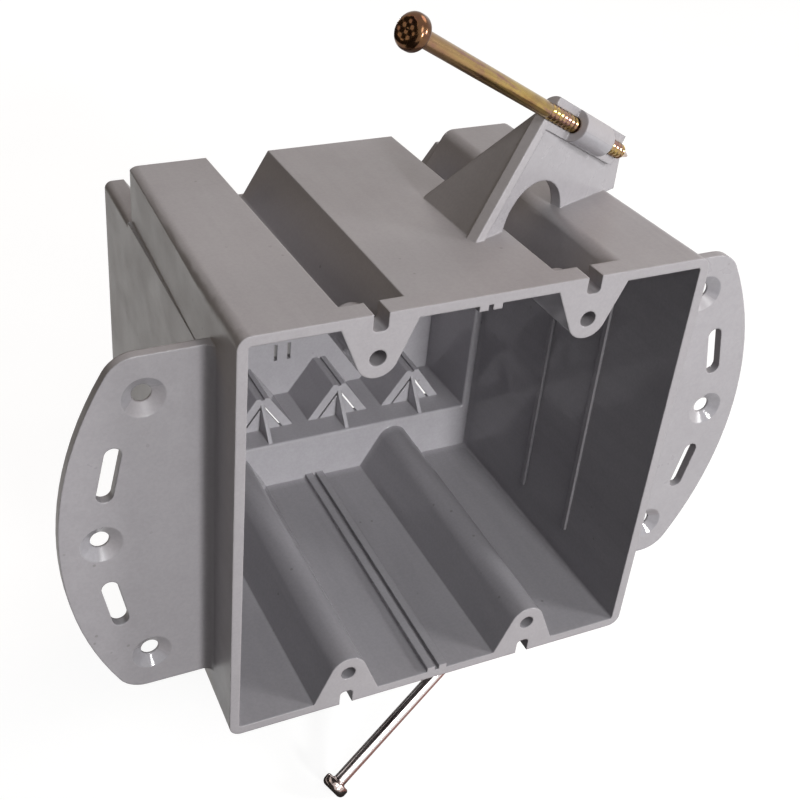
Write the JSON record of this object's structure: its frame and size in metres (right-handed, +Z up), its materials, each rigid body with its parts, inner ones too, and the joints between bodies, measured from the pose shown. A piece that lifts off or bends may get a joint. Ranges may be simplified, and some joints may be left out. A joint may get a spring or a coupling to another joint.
{
  "type": "switch box",
  "caption": "Grey plastic nail-on switch box with side flanges, screw ears, cable clamps inside and captive slanted nails.",
  "frame": {"origin": "centre of the front rim, midway between the device screw holes", "axes": "+X right along the rim, +Y back into the box, +Z up"},
  "size_m": [0.1636, 0.0985, 0.2039],
  "materials": {
    "grey_plastic": "satin",
    "yellow_zinc": "yellow zinc plated",
    "bright_zinc": "bright zinc plated"
  },
  "bodies": {
    "box": {"box_body": "grey_plastic"},
    "upper_nail": {"top_nail": "yellow_zinc"},
    "lower_nail": {"bottom_nail": "bright_zinc"}
  },
  "joints": [
    {"name": "top_nail_drive", "type": "slide", "parent": "box", "child": "upper_nail", "axis": [0.8313, 0.2605, -0.4909], "range_m": [0, 0.0449]},
    {"name": "bottom_nail_drive", "type": "slide", "parent": "box", "child": "lower_nail", "axis": [0.8313, 0.2605, 0.4909], "range_m": [0, 0.047]}
  ]
}
